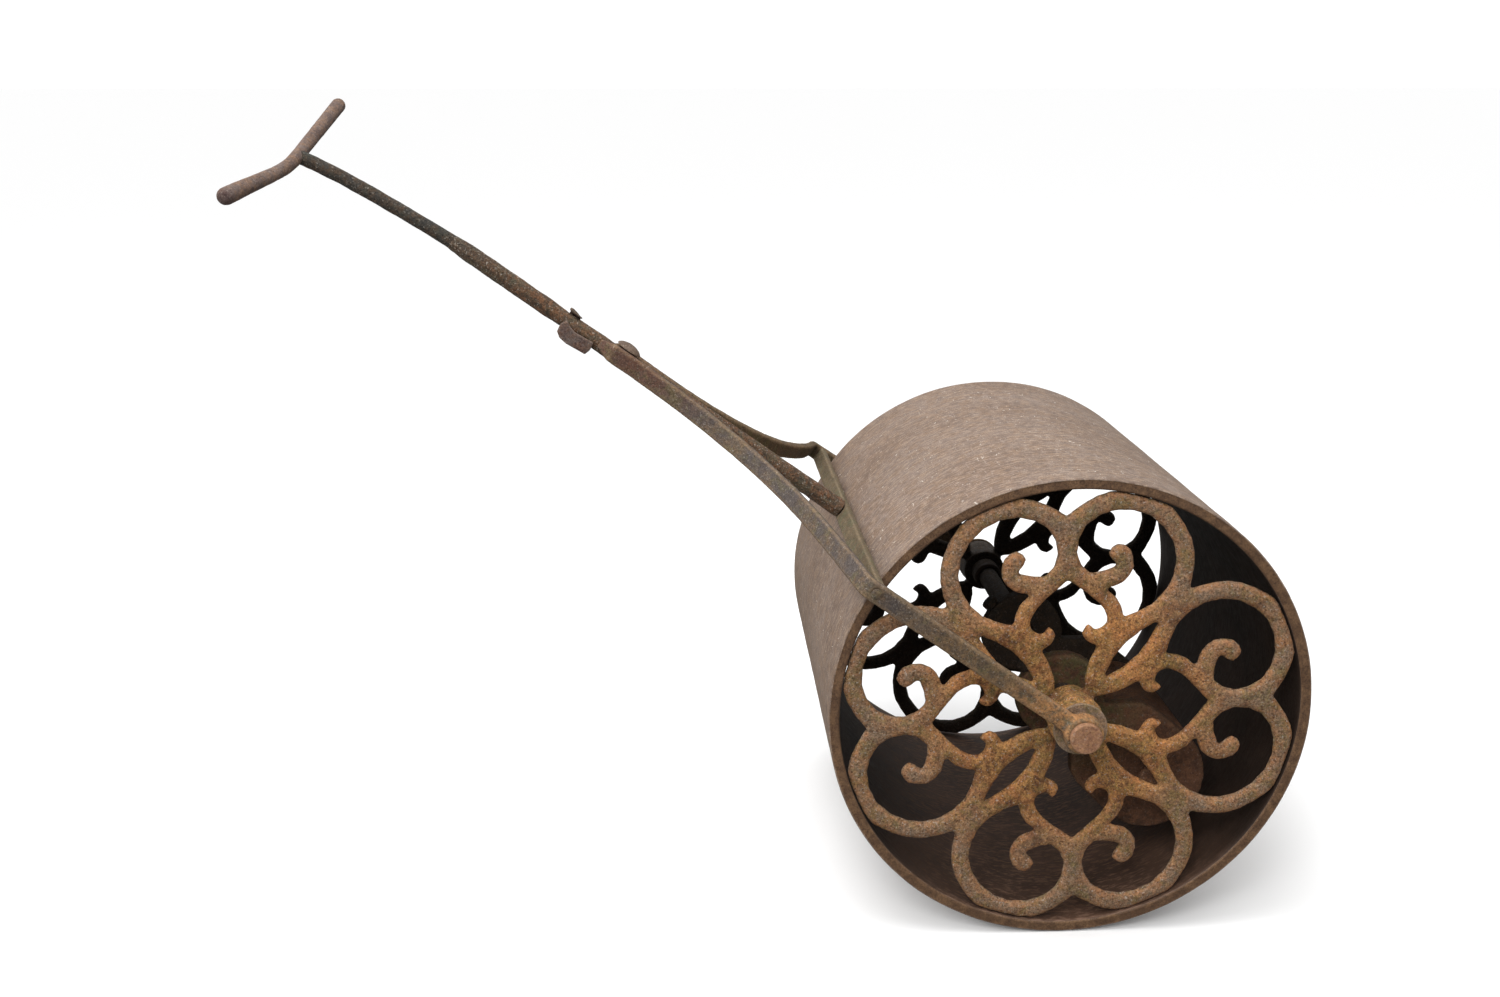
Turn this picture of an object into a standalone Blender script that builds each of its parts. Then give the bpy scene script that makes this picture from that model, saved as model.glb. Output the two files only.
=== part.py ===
"""Antique cast-iron lawn roller.

A hollow drum with open scroll-work ends turns on an axle.  A forged fork handle is fixed to the
axle, and a cast counterweight inside the drum balances it, so that the handle stands by itself.

Frame: +Z up, the drum's axis along Y, the handle towards -X, the origin on the ground under the
middle of the drum.  Handle pieces are built in the handle's own frame, which sits on the axle:
x runs out along the handle, y towards the near end (-Y), z square to both.
"""
import math

import bmesh
import bpy
from mathutils import Matrix, Vector

# ------------------------------------------------------------------ driving sizes, in metres
GAP = 0.0003                    # between pieces that touch
DRUM_RADIUS = 0.254
DRUM_WIDTH = 0.500
DRUM_WALL = 0.012
DRUM_SIDES = 80                 # a flat side faces the ground
RIM_EDGE = 0.0025

SCROLL_THICKNESS = 0.0115
SCROLL_INSET = 0.001            # of the scroll's face behind the rim
BAR_TRIM = 0.0013                # off both sides of the scroll-work's bars
NEAR_SCROLL_TURN = math.radians(4.0)
FAR_SCROLL_TURN = math.radians(-4.5)
BOSS_ROOT_RADIUS = 0.0272
BOSS_SHOULDER_RADIUS = 0.0294
BOSS_FACE_RADIUS = 0.0270
BOSS_OUTWARD = 0.035            # past the rim
BOSS_SHOULDER = 0.013           # below the boss's face
BOSS_INWARD = 0.006             # behind the scroll

AXLE_RADIUS = 0.0125
AXLE_STUB_RADIUS = 0.0112
NUT_RADIUS = 0.0165
NUT_THICKNESS = 0.0062
NUT_CAP = 0.0026                # the closed front of a nut
WASHER_RADIUS = 0.0280
WASHER_THICKNESS = 0.0034
COLLAR_RADIUS = 0.0180

HANDLE_ANGLE = math.radians(35.6)
EYE_RADIUS = 0.0208
EYE_THICKNESS = 0.0190
ARM_WIDTH = 0.0215
ARM_THICKNESS = 0.0105
ARM_SAG = {"near": 0.0, "far": 0.0070}  # the far arm has been bent down at its corner
STAY_WIDTH = 0.0205
STAY_THICKNESS = 0.0100
SHAFT_RADIUS = 0.0108
ROD_RADIUS = 0.0082
GRIP_RADIUS = 0.0076
GRIP_NEAR_RADIUS = 0.0095       # of the grip's thicker ends
GRIP_FAR_RADIUS = 0.0086
GRIP_TWIST = math.radians(18.8)

WEIGHT_RADIUS = 0.0612
WEIGHT_ARM = 0.1390             # from the axle's centre to the weight's
WEIGHT_ANGLE = math.radians(42.8)   # below the horizontal, away from the handle
WEIGHT_LENGTH = 0.1780
WEIGHT_FACE = -0.1862           # where the weight's near face lies along Y
LEVER_THICKNESS = 0.0180
LEVER_HUB_RADIUS = 0.0486
TIE_RADIUS = 0.0080

# Outlines of the scroll-work and the handle are drawn in drum radii.
UNIT = DRUM_RADIUS


def start_scene():
    """Empty the scene and make the collections for the parts and the cutters."""
    for old in list(bpy.data.objects):
        bpy.data.objects.remove(old, do_unlink=True)
    for old in list(bpy.data.collections):
        bpy.data.collections.remove(old)
    made = {}
    for name in ("lawn_roller", "cutters"):
        made[name] = bpy.data.collections.new(name)
        bpy.context.scene.collection.children.link(made[name])
    return made["lawn_roller"], made["cutters"]


PARTS, CUTTERS = start_scene()


def make_material(name, color, roughness, metallic):
    """A plain Principled material with the piece's own colour."""
    material = bpy.data.materials.new(name)
    material.use_nodes = True
    shader = material.node_tree.nodes["Principled BSDF"]
    shader.inputs["Base Color"].default_value = (*color, 1.0)
    shader.inputs["Roughness"].default_value = roughness
    shader.inputs["Metallic"].default_value = metallic
    material.diffuse_color = (*color, 1.0)
    return material


DRUM_RUST = make_material("drum_rust", (0.27, 0.21, 0.19), 0.75, 0.3)
SCROLL_RUST = make_material("scroll_rust", (0.33, 0.20, 0.11), 0.85, 0.2)
BAR_IRON = make_material("bar_iron", (0.16, 0.13, 0.11), 0.70, 0.4)
STAY_IRON = make_material("stay_iron", (0.20, 0.18, 0.12), 0.80, 0.3)
DARK_IRON = make_material("dark_iron", (0.09, 0.075, 0.06), 0.85, 0.3)
PIN_IRON = make_material("pin_iron", (0.30, 0.20, 0.17), 0.70, 0.4)


# ------------------------------------------------------------------ building tools
def add_object(name, data, material=None, collection=None):
    """Link a new object and give it its material."""
    obj = bpy.data.objects.new(name, data)
    (collection or PARTS).objects.link(obj)
    if material:
        data.materials.clear()
        data.materials.append(material)
    return obj


def seat(obj, parent, matrix=None):
    """Parent a piece to its axis and place it there."""
    obj.parent = parent
    obj.matrix_local = matrix or Matrix.Identity(4)
    return obj


def evaluated_mesh(obj):
    """The object's mesh with its modifiers applied and its loose caps welded."""
    bpy.context.view_layer.update()
    graph = bpy.context.evaluated_depsgraph_get()
    mesh = bpy.data.meshes.new_from_object(obj.evaluated_get(graph))
    welded = bmesh.new()
    welded.from_mesh(mesh)
    bmesh.ops.remove_doubles(welded, verts=welded.verts, dist=1e-6)
    bmesh.ops.recalc_face_normals(welded, faces=welded.faces)
    welded.to_mesh(mesh)
    welded.free()
    return mesh


def bake(obj, material, collection=None):
    """Replace a curve, or a stack of modifiers, by one plain mesh object."""
    name = obj.name
    placed = obj.matrix_world.copy()
    mesh = evaluated_mesh(obj)
    bpy.data.objects.remove(obj, do_unlink=True)
    made = add_object(name, mesh, material, collection)
    made.matrix_world = placed
    return made


def boolean(obj, tool, operation):
    """Join a tool to a piece, or cut it away, and keep the tool as a hidden cutter."""
    for home in list(tool.users_collection):
        home.objects.unlink(tool)
    CUTTERS.objects.link(tool)
    tool.hide_render = True
    tool.display_type = "WIRE"
    step = obj.modifiers.new(operation.lower(), "BOOLEAN")
    step.operation = operation
    step.solver = "EXACT"
    step.object = tool
    return obj


def smooth_shade(obj, angle=30.0):
    """Smooth shading with sharp edges kept."""
    obj.data.shade_smooth()
    obj.data.set_sharp_from_angle(angle=math.radians(angle))
    return obj


def turned(name, profile, material, sides=32, closed=True, collection=None):
    """Turn a profile of (radius, height) points about z; it runs down its outer side first."""
    mesh = bpy.data.meshes.new(name)
    points = [(radius, 0.0, height) for radius, height in profile]
    edges = [(i, i + 1) for i in range(len(points) - 1)]
    if closed:
        edges.append((len(points) - 1, 0))
    mesh.from_pydata(points, edges, [])
    obj = add_object(name, mesh, material, collection)
    screw = obj.modifiers.new("turn", "SCREW")
    screw.angle = math.tau
    screw.steps = sides
    screw.render_steps = sides
    screw.use_merge_vertices = True
    screw.merge_threshold = 1e-5
    return smooth_shade(bake(obj, material, collection))


def disc_profile(radius, low, high, edge=0.0008, bore=0.0):
    """A disc's profile with broken corners, bored or solid."""
    rim = [(radius - edge, high), (radius, high - edge), (radius, low + edge), (radius - edge, low)]
    if bore > 0.0:
        return rim + [(bore, low), (bore, high)], True
    return [(0.0, high)] + rim + [(0.0, low)], False


def disc(name, radius, low, high, material, bore=0.0, edge=0.0008, sides=28, collection=None):
    """A round piece between two heights on z."""
    profile, closed = disc_profile(radius, low, high, edge, bore)
    return turned(name, profile, material, sides, closed, collection)


def spline_through(points, steps):
    """A smooth open curve through the given points, with a few samples to each span."""
    path = [Vector(point) for point in points]
    first = path[0] * 2 - path[1]
    last = path[-1] * 2 - path[-2]
    path = [first] + path + [last]
    samples = []
    for i in range(1, len(path) - 2):
        before, start, end, after = path[i - 1:i + 3]
        for k in range(steps):
            t = k / steps
            samples.append(0.5 * (
                2 * start + (end - before) * t
                + (2 * before - 5 * start + 4 * end - after) * t ** 2
                + (3 * start - before - 3 * end + after) * t ** 3))
    samples.append(path[-2])
    return samples


def flat_solid(name, outlines, half_thickness, material, edge=0.0, collection=None):
    """An outline, with any holes, as a plate that lies in the xy plane."""
    curve = bpy.data.curves.new(name, "CURVE")
    curve.dimensions = "2D"
    curve.fill_mode = "BOTH"
    curve.resolution_u = 1
    curve.render_resolution_u = 0
    curve.extrude = half_thickness - edge
    curve.bevel_depth = edge
    curve.bevel_resolution = 0
    curve.offset = -edge
    for outline in outlines:
        spline = curve.splines.new("POLY")
        spline.points.add(len(outline) - 1)
        for point, place in zip(spline.points, outline):
            point.co = (place[0], place[1], 0.0, 1.0)
        spline.use_cyclic_u = True
    return bake(add_object(name, curve, None, collection), material, collection)


def round_bar(name, path, radii, material, rings=4, collection=None):
    """A bar of changing radius along a path; rings of 2, 4 and 6 give 8, 12 and 16 sides."""
    curve = bpy.data.curves.new(name, "CURVE")
    curve.dimensions = "3D"
    curve.bevel_depth = 1.0
    curve.bevel_resolution = rings
    curve.use_fill_caps = True
    curve.render_resolution_u = 0
    curve.twist_mode = "MINIMUM"
    spline = curve.splines.new("POLY")
    spline.points.add(len(path) - 1)
    for point, place, radius in zip(spline.points, path, radii):
        point.co = (*place, 1.0)
        point.radius = radius
    return smooth_shade(bake(add_object(name, curve, None, collection), material, collection), 50.0)


def box(name, low, high, material, edge=0.0, collection=None):
    """A box between two corners, with its edges broken."""
    mesh = bpy.data.meshes.new(name)
    solid = bmesh.new()
    bmesh.ops.create_cube(solid, size=1.0)
    size = [high[i] - low[i] for i in range(3)]
    middle = [(high[i] + low[i]) / 2 for i in range(3)]
    bmesh.ops.scale(solid, vec=size, verts=solid.verts)
    bmesh.ops.translate(solid, vec=middle, verts=solid.verts)
    if edge:
        bmesh.ops.bevel(solid, geom=solid.edges[:], offset=edge, segments=1, affect="EDGES")
    solid.to_mesh(mesh)
    solid.free()
    return add_object(name, mesh, material, collection)


# ------------------------------------------------------------------ axes
def empty(name, matrix):
    """An empty that stands for an axis."""
    obj = bpy.data.objects.new(name, None)
    PARTS.objects.link(obj)
    obj.empty_display_size = 0.05
    obj.matrix_world = matrix
    return obj


AXLE_CENTRE = Vector((0.0, 0.0, DRUM_RADIUS))
OUTWARD_NEAR = Matrix.Rotation(math.pi / 2, 4, "X")      # a piece's z points to -Y
OUTWARD_FAR = Matrix.Rotation(-math.pi / 2, 4, "X")      # a piece's z points to +Y
DRUM_AXIS = empty("drum_axis", Matrix.Translation(AXLE_CENTRE))
HANDLE_AXIS = empty(
    "handle_axis",
    Matrix.Translation(AXLE_CENTRE)
    @ Matrix.Rotation(math.pi, 4, "Z")
    @ Matrix.Rotation(-HANDLE_ANGLE, 4, "Y"))
# Pieces on the axle that turn with the handle are placed in the world's directions.
AXLE_AXIS = empty("axle_axis", Matrix.Translation(AXLE_CENTRE))
AXLE_AXIS.parent = HANDLE_AXIS
AXLE_AXIS.matrix_parent_inverse = HANDLE_AXIS.matrix_world.inverted()
ENDS = {"near": OUTWARD_NEAR, "far": OUTWARD_FAR}


# ------------------------------------------------------------------ the drum
def drum_shell():
    """The rolled surface: a tube whose flat sides touch the drum's radius."""
    corner = 1.0 / math.cos(math.pi / DRUM_SIDES)
    outer = DRUM_RADIUS * corner
    inner = (DRUM_RADIUS - DRUM_WALL) * corner
    half = DRUM_WIDTH / 2
    profile = [
        (outer - RIM_EDGE, half), (outer, half - RIM_EDGE),
        (outer, -half + RIM_EDGE), (outer - RIM_EDGE, -half),
        (inner + RIM_EDGE, -half), (inner, -half + RIM_EDGE),
        (inner, half - RIM_EDGE), (inner + RIM_EDGE, half)]
    shell = turned("drum_shell", profile, DRUM_RUST, DRUM_SIDES)
    half_side = Matrix.Rotation(math.pi / DRUM_SIDES, 4, "Z")
    return seat(shell, DRUM_AXIS, OUTWARD_NEAR @ half_side)


# The scroll-work repeats eight times.  Its eighth lies between a lobe's centre line (x = 0) and
# the diagonal (x = y), in drum radii.  Points just past those two lines are trimmed off there.
ARM_EDGE = [(0.055, 0.060), (0.055, 0.140), (0.072, 0.210), (0.105, 0.280)]
HOOK = [(0.105, 0.280), (0.068, 0.300), (0.047, 0.342), (0.079, 0.387), (0.109, 0.358)]
HEART = [(0.109, 0.358), (0.140, 0.370), (0.150, 0.402), (0.122, 0.458), (0.060, 0.515), (0.000, 0.565)]
TRUNK = [(-0.030, 0.590), (-0.030, 0.830)]
CROWN = [(0.000, 0.850), (0.075, 0.899)]
TOUCH_RADIUS = 0.9490 + BAR_TRIM / UNIT
TOUCH_ANGLES = (11.0, 18.5, 25.0)           # from the lobe's centre line
FLANK = [(0.455, 0.812), (0.510, 0.705), (0.521, 0.600), (0.500, 0.497)]
FORK = [(0.530, 0.470), (0.390, 0.330)]
ALMOND = [(0.360, 0.360), (0.300, 0.326), (0.236, 0.280), (0.187, 0.221), (0.153, 0.153)]
ROOT = [(0.173, 0.133), (0.070, 0.030)]
EYE_LOOP = [(0.230, 0.405), (0.345, 0.452), (0.423, 0.560), (0.422, 0.692), (0.330, 0.810),
            (0.195, 0.843), (0.083, 0.792), (0.046, 0.685), (0.095, 0.602), (0.192, 0.621)]
CURL_BALL = [(0.192, 0.621), (0.158, 0.675), (0.205, 0.717), (0.262, 0.683), (0.273, 0.600),
             (0.225, 0.538), (0.165, 0.520)]
S_BACK = [(0.165, 0.520), (0.202, 0.487), (0.222, 0.445), (0.230, 0.405)]


def joined(*stretches):
    """Stretches of an outline put together, without the points that they share."""
    outline = []
    for stretch in stretches:
        for point in stretch:
            place = Vector(point) * UNIT
            if not outline or (place - outline[-1]).length > 1e-6:
                outline.append(place)
    if (outline[0] - outline[-1]).length < 1e-6:
        outline.pop()
    return outline


def drawn_in(outline, amount):
    """A closed outline with its sides moved inward, or outward if the amount is negative."""
    ahead, behind = outline[1:] + outline[:1], outline[-1:] + outline[:-1]
    area = sum(here.x * there.y - here.y * there.x for here, there in zip(outline, ahead))
    step = math.copysign(amount, area * amount)
    moved = []
    for before, place, after in zip(behind, outline, ahead):
        coming, going = (place - before).normalized(), (after - place).normalized()
        normals = Vector((-coming.y, coming.x)) + Vector((-going.y, going.x))
        moved.append(place + normals * (step / max(1.0 + coming.dot(going), 0.5)))
    return moved


def scroll_eighth():
    """The outline of an eighth of the scroll-work, and of the hole in its ring."""
    touch = [(TOUCH_RADIUS * math.sin(math.radians(angle)), TOUCH_RADIUS * math.cos(math.radians(angle)))
             for angle in TOUCH_ANGLES]
    shoulder = spline_through(CROWN + touch + FLANK, 2)
    outside = joined(
        ARM_EDGE[:1], spline_through(ARM_EDGE[1:], 2), spline_through(HOOK, 2),
        spline_through(HEART, 2), TRUNK, shoulder, FORK, spline_through(ALMOND, 1), ROOT)
    hole = joined(spline_through(EYE_LOOP, 2), spline_through(CURL_BALL, 2), spline_through(S_BACK, 1))
    return [drawn_in(outside, BAR_TRIM), drawn_in(hole, -BAR_TRIM)]


def mirrored_all_round(obj):
    """Mirror an eighth over the lobe's line, then over both diagonals."""
    first = obj.modifiers.new("lobe", "MIRROR")
    first.use_axis = (True, False, False)
    first.use_bisect_axis = (True, False, False)
    diagonals = bpy.data.objects.new("diagonals", None)
    CUTTERS.objects.link(diagonals)
    diagonals.rotation_euler = (0.0, 0.0, math.pi / 4)
    second = obj.modifiers.new("quarters", "MIRROR")
    second.mirror_object = diagonals
    second.use_axis = (True, True, False)
    second.use_bisect_axis = (True, True, False)
    for mirror in (first, second):
        mirror.use_mirror_merge = True
        mirror.merge_threshold = 1e-5
        mirror.bisect_threshold = 1e-6
    return diagonals


def end_scroll(end, turn):
    """An open cast end: scroll-work with a boss for the axle."""
    name = "end_scroll_" + end
    plate = flat_solid(name, scroll_eighth(), SCROLL_THICKNESS / 2, SCROLL_RUST)
    diagonals = mirrored_all_round(plate)
    scroll = bake(plate, SCROLL_RUST)
    bpy.data.objects.remove(diagonals, do_unlink=True)
    face = DRUM_WIDTH / 2 - SCROLL_INSET
    scroll.data.transform(Matrix.Translation((0.0, 0.0, face - SCROLL_THICKNESS / 2)))
    boss_top = DRUM_WIDTH / 2 + BOSS_OUTWARD
    boss_low = face - SCROLL_THICKNESS - BOSS_INWARD
    shoulder = boss_top - BOSS_SHOULDER
    profile = [
        (0.0, boss_top), (BOSS_FACE_RADIUS - 0.0015, boss_top), (BOSS_FACE_RADIUS, boss_top - 0.0015),
        (BOSS_FACE_RADIUS + 0.0008, shoulder), (BOSS_SHOULDER_RADIUS - 0.0012, shoulder),
        (BOSS_SHOULDER_RADIUS, shoulder - 0.0012), (BOSS_ROOT_RADIUS, face + 0.002),
        (BOSS_ROOT_RADIUS, boss_low), (0.0, boss_low)]
    boss = turned("boss_" + end, profile, SCROLL_RUST, 32, closed=False, collection=CUTTERS)
    bore = disc("bore_" + end, AXLE_RADIUS + GAP, boss_low - 0.01, boss_top + 0.01, SCROLL_RUST,
                collection=CUTTERS)
    boolean(scroll, boss, "UNION")
    boolean(scroll, bore, "DIFFERENCE")
    placing = ENDS[end] @ Matrix.Rotation(turn, 4, "Z")
    for piece in (scroll, boss, bore):
        seat(piece, DRUM_AXIS, placing)
    return smooth_shade(scroll, 35.0)


# ------------------------------------------------------------------ the axle and what is on it
BOSS_FACE = DRUM_WIDTH / 2 + BOSS_OUTWARD
EYE_BACK = BOSS_FACE + WASHER_THICKNESS + 2 * GAP
EYE_FRONT = EYE_BACK + EYE_THICKNESS
NUT_BACK = EYE_FRONT + GAP
NUT_FRONT = NUT_BACK + NUT_THICKNESS
BOSS_BACK = DRUM_WIDTH / 2 - SCROLL_INSET - SCROLL_THICKNESS - BOSS_INWARD
LEVER_NEAR_FACE = -WEIGHT_FACE + GAP + LEVER_THICKNESS


def axle():
    """The axle, stepped at both ends for its nuts."""
    shoulder = EYE_FRONT
    tip = NUT_FRONT - NUT_CAP - GAP
    profile = [
        (0.0, tip), (AXLE_STUB_RADIUS - 0.001, tip), (AXLE_STUB_RADIUS, tip - 0.001),
        (AXLE_STUB_RADIUS, shoulder), (AXLE_RADIUS, shoulder),
        (AXLE_RADIUS, -shoulder), (AXLE_STUB_RADIUS, -shoulder),
        (AXLE_STUB_RADIUS, -tip + 0.001), (AXLE_STUB_RADIUS - 0.001, -tip), (0.0, -tip)]
    return seat(turned("axle", profile, DARK_IRON, 32, closed=False), AXLE_AXIS, OUTWARD_NEAR)


def axle_fittings(end):
    """A thrust washer, a round cap nut and an inner collar at one end of the axle."""
    bore = AXLE_RADIUS + GAP
    washer = disc("thrust_washer_" + end, WASHER_RADIUS, BOSS_FACE + GAP,
                  BOSS_FACE + GAP + WASHER_THICKNESS, PIN_IRON, bore, 0.0004)
    nut_bore, nut_edge = AXLE_STUB_RADIUS + GAP, 0.0012
    nut = turned("axle_nut_" + end, [
        (0.0, NUT_FRONT), (NUT_RADIUS - nut_edge, NUT_FRONT), (NUT_RADIUS, NUT_FRONT - nut_edge),
        (NUT_RADIUS, NUT_BACK), (nut_bore, NUT_BACK),
        (nut_bore, NUT_FRONT - NUT_CAP), (0.0, NUT_FRONT - NUT_CAP)], PIN_IRON, 28, closed=False)
    collar = disc("axle_collar_" + end, COLLAR_RADIUS, LEVER_NEAR_FACE + GAP, BOSS_BACK - GAP,
                  DARK_IRON, bore, 0.001)
    for piece in (washer, nut, collar):
        seat(piece, AXLE_AXIS, ENDS[end])


# ------------------------------------------------------------------ the counterweight
# x runs from the axle to the weight, z towards the near end.
WEIGHT_PLACE = OUTWARD_NEAR @ Matrix.Rotation(-WEIGHT_ANGLE, 4, "Z")


def arc(centre, radius, start, end, steps):
    """Points along an arc about a place on the x axis, from one angle to another."""
    points = []
    for k in range(steps + 1):
        angle = start + (end - start) * k / steps
        points.append((centre + radius * math.cos(angle), radius * math.sin(angle)))
    return points


def lever_outline():
    """A round hub and a round end, joined by a waist that widens towards the weight."""
    waist = math.radians(32.0)
    hub = arc(0.0, LEVER_HUB_RADIUS, waist, math.tau - waist, 21)
    end = arc(WEIGHT_ARM, WEIGHT_RADIUS, -math.pi / 2, math.pi / 2, 14)
    shoulder = [(0.104, 0.0602), (0.084, 0.0585), (0.071, 0.0545), (0.056, 0.0405)]
    return hub + [(x, -y) for x, y in shoulder[::-1]] + end + shoulder


def weight_lever(name, low, high):
    """A pear-shaped lever that clamps the weight to the axle, with a screw in its hub."""
    lever = flat_solid(name, [lever_outline()], (high - low) / 2, DARK_IRON)
    lever.data.transform(Matrix.Translation((0.0, 0.0, (high + low) / 2)))
    bore = disc(name + "_bore", AXLE_RADIUS + GAP, low - 0.01, high + 0.01, DARK_IRON, collection=CUTTERS)
    tie = disc(name + "_tie", TIE_RADIUS + GAP, low - 0.01, high + 0.01, DARK_IRON, collection=CUTTERS)
    tie.data.transform(Matrix.Translation((WEIGHT_ARM, 0.0, 0.0)))
    screw_radius = 0.005
    drill = disc(name + "_drill", screw_radius + GAP, 0.005, LEVER_HUB_RADIUS + 0.01, DARK_IRON,
                 sides=16, collection=CUTTERS)
    across = Matrix.Translation((0.0, 0.0, (high + low) / 2)) @ Matrix.Rotation(-math.pi / 2, 4, "Y")
    drill.data.transform(across)
    for tool in (bore, tie, drill):
        boolean(lever, tool, "DIFFERENCE")
        seat(tool, AXLE_AXIS, WEIGHT_PLACE)
    seat(smooth_shade(lever), AXLE_AXIS, WEIGHT_PLACE)
    head_low = LEVER_HUB_RADIUS + GAP
    screw = turned(
        name.replace("weight_lever", "set_screw"),
        [(0.0, head_low + 0.008), (0.0085, head_low + 0.008), (0.0092, head_low + 0.007),
         (0.0092, head_low), (screw_radius, head_low), (screw_radius, AXLE_RADIUS + 2 * GAP),
         (0.0, AXLE_RADIUS + 2 * GAP)], PIN_IRON, 16, closed=False)
    screw.data.transform(across)
    return seat(screw, AXLE_AXIS, WEIGHT_PLACE)


def counterweight():
    """The round weight, its two levers and the bolt that ties them."""
    near_face = -WEIGHT_FACE
    far_face = near_face - WEIGHT_LENGTH
    weight = disc("counterweight", WEIGHT_RADIUS, far_face, near_face, DARK_IRON, TIE_RADIUS + GAP,
                  0.003, 48)
    weight.data.transform(Matrix.Translation((WEIGHT_ARM, 0.0, 0.0)))
    seat(weight, AXLE_AXIS, WEIGHT_PLACE)
    weight_lever("weight_lever_near", near_face + GAP, LEVER_NEAR_FACE)
    lever_end = far_face - GAP - LEVER_THICKNESS
    weight_lever("weight_lever_inner", lever_end, far_face - GAP)
    head_radius = 0.0140
    head = LEVER_NEAR_FACE + GAP
    bolt = turned(
        "tie_bolt",
        [(0.0, head + 0.008), (head_radius - 0.0015, head + 0.008), (head_radius, head + 0.0065),
         (head_radius, head), (TIE_RADIUS, head), (TIE_RADIUS, lever_end - 0.012),
         (0.0, lever_end - 0.012)], PIN_IRON, 24, closed=False)
    nut = disc("tie_nut", head_radius, lever_end - GAP - 0.009, lever_end - GAP, PIN_IRON,
               TIE_RADIUS + GAP, 0.001, 24)
    for piece in (bolt, nut):
        piece.data.transform(Matrix.Translation((WEIGHT_ARM, 0.0, 0.0)))
        seat(piece, AXLE_AXIS, WEIGHT_PLACE)


# ------------------------------------------------------------------ the fork
# An arm's centre line in the handle's frame, in drum radii: distance out, then sideways.
ARM_SIDE = 0.2956 / UNIT
ARM_LAY = (SHAFT_RADIUS + GAP + ARM_THICKNESS / 2) / UNIT
ARM_CORNER = {
    "near": [(1.058, ARM_SIDE), (1.081, ARM_SIDE - 0.016), (1.097, 1.098)],
    "far": [(1.086, ARM_SIDE), (1.108, 1.105)]}
ARM_SWEEP = [
    (1.152, 0.955), (1.260, 0.705), (1.370, 0.515), (1.490, 0.372), (1.620, 0.262),
    (1.780, 0.165), (1.970, 0.098), (2.170, ARM_LAY)]
ARM_TIP = {"near": 2.385, "far": 2.335}
STAY_INNER = 1.013 * UNIT
STAY_OUTER = STAY_INNER + STAY_THICKNESS
STAY_MIDDLE = (STAY_INNER + STAY_OUTER) / 2
STAY_RIVET_RADIUS = 0.0040
TENON_RADIUS = 0.0058           # of the shaft's end, in the stay


def strip_outline(centre, half_width):
    """The outline of a strip of even thickness along a centre line, with mitred corners."""
    left = []
    right = []
    for i, place in enumerate(centre):
        behind = (place - centre[max(i - 1, 0)]).normalized()
        ahead = (centre[min(i + 1, len(centre) - 1)] - place).normalized()
        along = (behind + ahead).normalized()
        mitre = half_width / max(along.dot(ahead), along.dot(behind))
        square = Vector((-along.y, along.x)) * mitre
        left.append(place + square)
        right.append(place - square)
    return left + right[::-1]


def arm_sag(end, out):
    """How far an arm has been bent down, at a distance out along the handle."""
    corner = ARM_CORNER[end][0][0] * UNIT
    if out < corner:
        return ARM_SAG[end] * out / corner
    past = min((out - corner) / (1.2 * UNIT), 1.0)
    return ARM_SAG[end] * (1.0 - past ** 2)


def fork_arm(end):
    """A flat bar from its eye on the axle, round the drum's corner and in to the shaft."""
    side = 1.0 if end == "near" else -1.0
    name = "fork_arm_" + end
    corner = ARM_CORNER[end]
    tip = [ARM_SWEEP[-1], (ARM_TIP[end], ARM_LAY)]
    centre = joined([(0.0, ARM_SIDE), corner[0]], spline_through(corner + ARM_SWEEP, 2), tip)
    outline = [(point.x, point.y * side) for point in strip_outline(centre, ARM_THICKNESS / 2)]
    arm = flat_solid(name, [outline], ARM_WIDTH / 2, BAR_IRON, 0.002)
    for vertex in arm.data.vertices:
        vertex.co.z -= arm_sag(end, vertex.co.x)
    outward = Matrix.Rotation(-math.pi / 2 * side, 4, "X")
    eye = disc("eye_" + end, EYE_RADIUS, EYE_BACK, EYE_FRONT, BAR_IRON, 0.0, 0.0015, 40, CUTTERS)
    bore = disc("eye_bore_" + end, AXLE_RADIUS + GAP, EYE_BACK - 0.01, EYE_FRONT + 0.01, BAR_IRON,
                collection=CUTTERS)
    rivet_hole = disc("rivet_hole_" + end, STAY_RIVET_RADIUS + GAP, EYE_BACK - 0.01,
                      EYE_FRONT + 0.01, BAR_IRON, sides=16, collection=CUTTERS)
    boolean(arm, eye, "UNION")
    boolean(arm, bore, "DIFFERENCE")
    boolean(arm, rivet_hole, "DIFFERENCE")
    for tool in (eye, bore):
        seat(tool, HANDLE_AXIS, outward)
    seat(rivet_hole, HANDLE_AXIS, rivet_place(end))
    return seat(smooth_shade(arm), HANDLE_AXIS)


def rivet_place(end):
    """Where a stay's rivet sits, with z pointing out through the arm."""
    side = 1.0 if end == "near" else -1.0
    centre = Matrix.Translation((STAY_MIDDLE, 0.0, -arm_sag(end, STAY_MIDDLE)))
    return centre @ Matrix.Rotation(-math.pi / 2 * side, 4, "X")


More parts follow.
